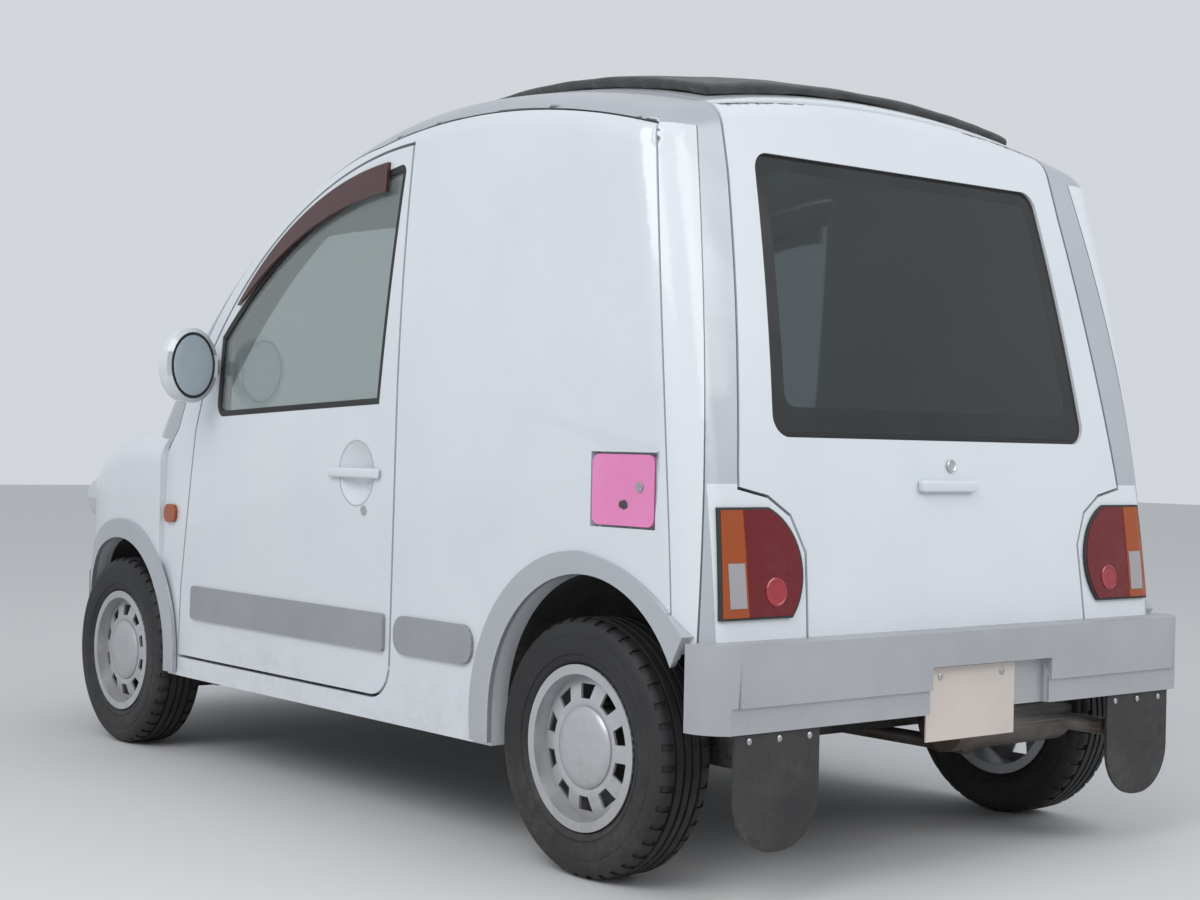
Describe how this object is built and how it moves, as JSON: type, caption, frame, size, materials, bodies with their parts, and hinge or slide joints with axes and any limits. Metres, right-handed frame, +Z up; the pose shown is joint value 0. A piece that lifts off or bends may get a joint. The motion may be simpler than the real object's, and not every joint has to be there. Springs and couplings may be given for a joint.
{
  "type": "small panel van",
  "caption": "Small tall-backed panel van with an arched roof, a canvas roof top, lifting tailgate, swinging doors, steering and rolling wheels.",
  "frame": {"origin": "on the ground under the middle of the overall length and width", "axes": "+X forwards, +Y to the left side, +Z up"},
  "size_m": [3.4799, 1.892, 1.86],
  "materials": {
    "white": "cool white gloss paint",
    "silver": "light silver paint",
    "bumper": "silver-grey painted plastic",
    "moulding": "dark silver plastic",
    "canvas": "black canvas",
    "glass": "clear glass",
    "tint": "tinted glass",
    "visor": "smoked plastic",
    "rubber": "black rubber",
    "tyre": "worn rubber",
    "rim": "silver paint",
    "black": "black plastic",
    "steel": "bare steel",
    "under": "black underbody paint",
    "engine": "cast",
    "trim": "grey plastic",
    "seat": "grey cloth",
    "lamp": "red and amber lens",
    "amber": "amber lens",
    "head": "clear lens",
    "plate": "bare plate",
    "flap": "pink paint"
  },
  "bodies": {
    "body": {"side_panel_left": "white", "side_panel_right": "white", "roof_panel": "white", "front_wings": "white", "arch_bands": "silver", "arch_trims": "silver", "rear_panel": "white", "canvas_top": "canvas", "windscreen": "glass", "front_inner": "under", "floor_pan": "under", "engine": "engine", "dashboard": "trim", "steering_column": "black", "seats": "seat", "front_bumper": "bumper", "rear_bumper": "bumper", "headlamps": "head", "tail_lamps": "lamp", "marker_lamps": "amber", "side_mouldings": "moulding", "number_plates": "plate", "mud_flaps": "rubber", "exhaust": "steel", "fuel_tank": "under", "fuel_filler": "black", "front_suspension": "under", "rear_axle": "under"},
    "door_left": {"door_left": "white", "door_seal_left": "rubber", "door_glass_left": "tint", "door_moulding_left": "moulding", "window_visor_left": "visor", "door_handle_left": "moulding", "mirror_left": "black"},
    "door_right": {"door_right": "white", "door_seal_right": "rubber", "door_glass_right": "tint", "door_moulding_right": "moulding", "window_visor_right": "visor", "door_handle_right": "moulding", "mirror_right": "black"},
    "tailgate": {"tailgate": "white", "tailgate_glass": "tint", "tailgate_handle": "moulding"},
    "bonnet": {"bonnet": "white"},
    "fuel_flap": {"fuel_flap": "flap"},
    "steering_wheel": {"steering_wheel": "black"},
    "knuckle_left": {"knuckle_left": "under"},
    "knuckle_right": {"knuckle_right": "under"},
    "wheel_front_left": {"tyre_front_left": "tyre", "rim_front_left": "rim"},
    "wheel_front_right": {"tyre_front_right": "tyre", "rim_front_right": "rim"},
    "wheel_rear_left": {"tyre_rear_left": "tyre", "rim_rear_left": "rim"},
    "wheel_rear_right": {"tyre_rear_right": "tyre", "rim_rear_right": "rim"}
  },
  "joints": [
    {"name": "door_left_hinge", "type": "hinge", "parent": "body", "child": "door_left", "pos_m": [0.573, 0.785, 0.65], "axis": [0, 0, -1], "range_deg": [0, 65]},
    {"name": "door_right_hinge", "type": "hinge", "parent": "body", "child": "door_right", "pos_m": [0.573, -0.785, 0.65], "axis": [0, 0, 1], "range_deg": [0, 65]},
    {"name": "tailgate_hinge", "type": "hinge", "parent": "body", "child": "tailgate", "pos_m": [-1.4235, 0, 1.748], "axis": [0, 1, 0], "range_deg": [0, 80]},
    {"name": "bonnet_hinge", "type": "hinge", "parent": "body", "child": "bonnet", "pos_m": [0.9265, 0, 0.962], "axis": [0, -1, 0], "range_deg": [0, 60]},
    {"name": "fuel_flap_hinge", "type": "hinge", "parent": "body", "child": "fuel_flap", "pos_m": [-1.3205, 0.7855, 0.847], "axis": [0, 0, -1], "range_deg": [0, 100]},
    {"name": "steer_left", "type": "hinge", "parent": "body", "child": "knuckle_left", "pos_m": [0.99, 0.68, 0.283], "axis": [0, 0, 1], "range_deg": [-30, 30]},
    {"name": "steer_right", "type": "hinge", "parent": "body", "child": "knuckle_right", "pos_m": [0.99, -0.68, 0.283], "axis": [0, 0, 1], "range_deg": [-30, 30]},
    {"name": "steering_wheel_turn", "type": "hinge", "parent": "body", "child": "steering_wheel", "pos_m": [0.33, -0.35, 0.85], "axis": [-0.866, 0, 0.5], "range_deg": [-420, 420]},
    {"name": "roll_front_left", "type": "hinge", "parent": "knuckle_left", "child": "wheel_front_left", "pos_m": [0.99, 0.697, 0.283], "axis": [0, 1, 0], "continuous": true},
    {"name": "roll_front_right", "type": "hinge", "parent": "knuckle_right", "child": "wheel_front_right", "pos_m": [0.99, -0.697, 0.283], "axis": [0, 1, 0], "continuous": true},
    {"name": "roll_rear_left", "type": "hinge", "parent": "body", "child": "wheel_rear_left", "pos_m": [-1.27, 0.697, 0.283], "axis": [0, 1, 0], "continuous": true},
    {"name": "roll_rear_right", "type": "hinge", "parent": "body", "child": "wheel_rear_right", "pos_m": [-1.27, -0.697, 0.283], "axis": [0, 1, 0], "continuous": true}
  ],
  "couplings": [
    {"joint": "steer_right", "follows": "steer_left", "ratio": 1},
    {"joint": "steering_wheel_turn", "follows": "steer_left", "ratio": 14}
  ]
}
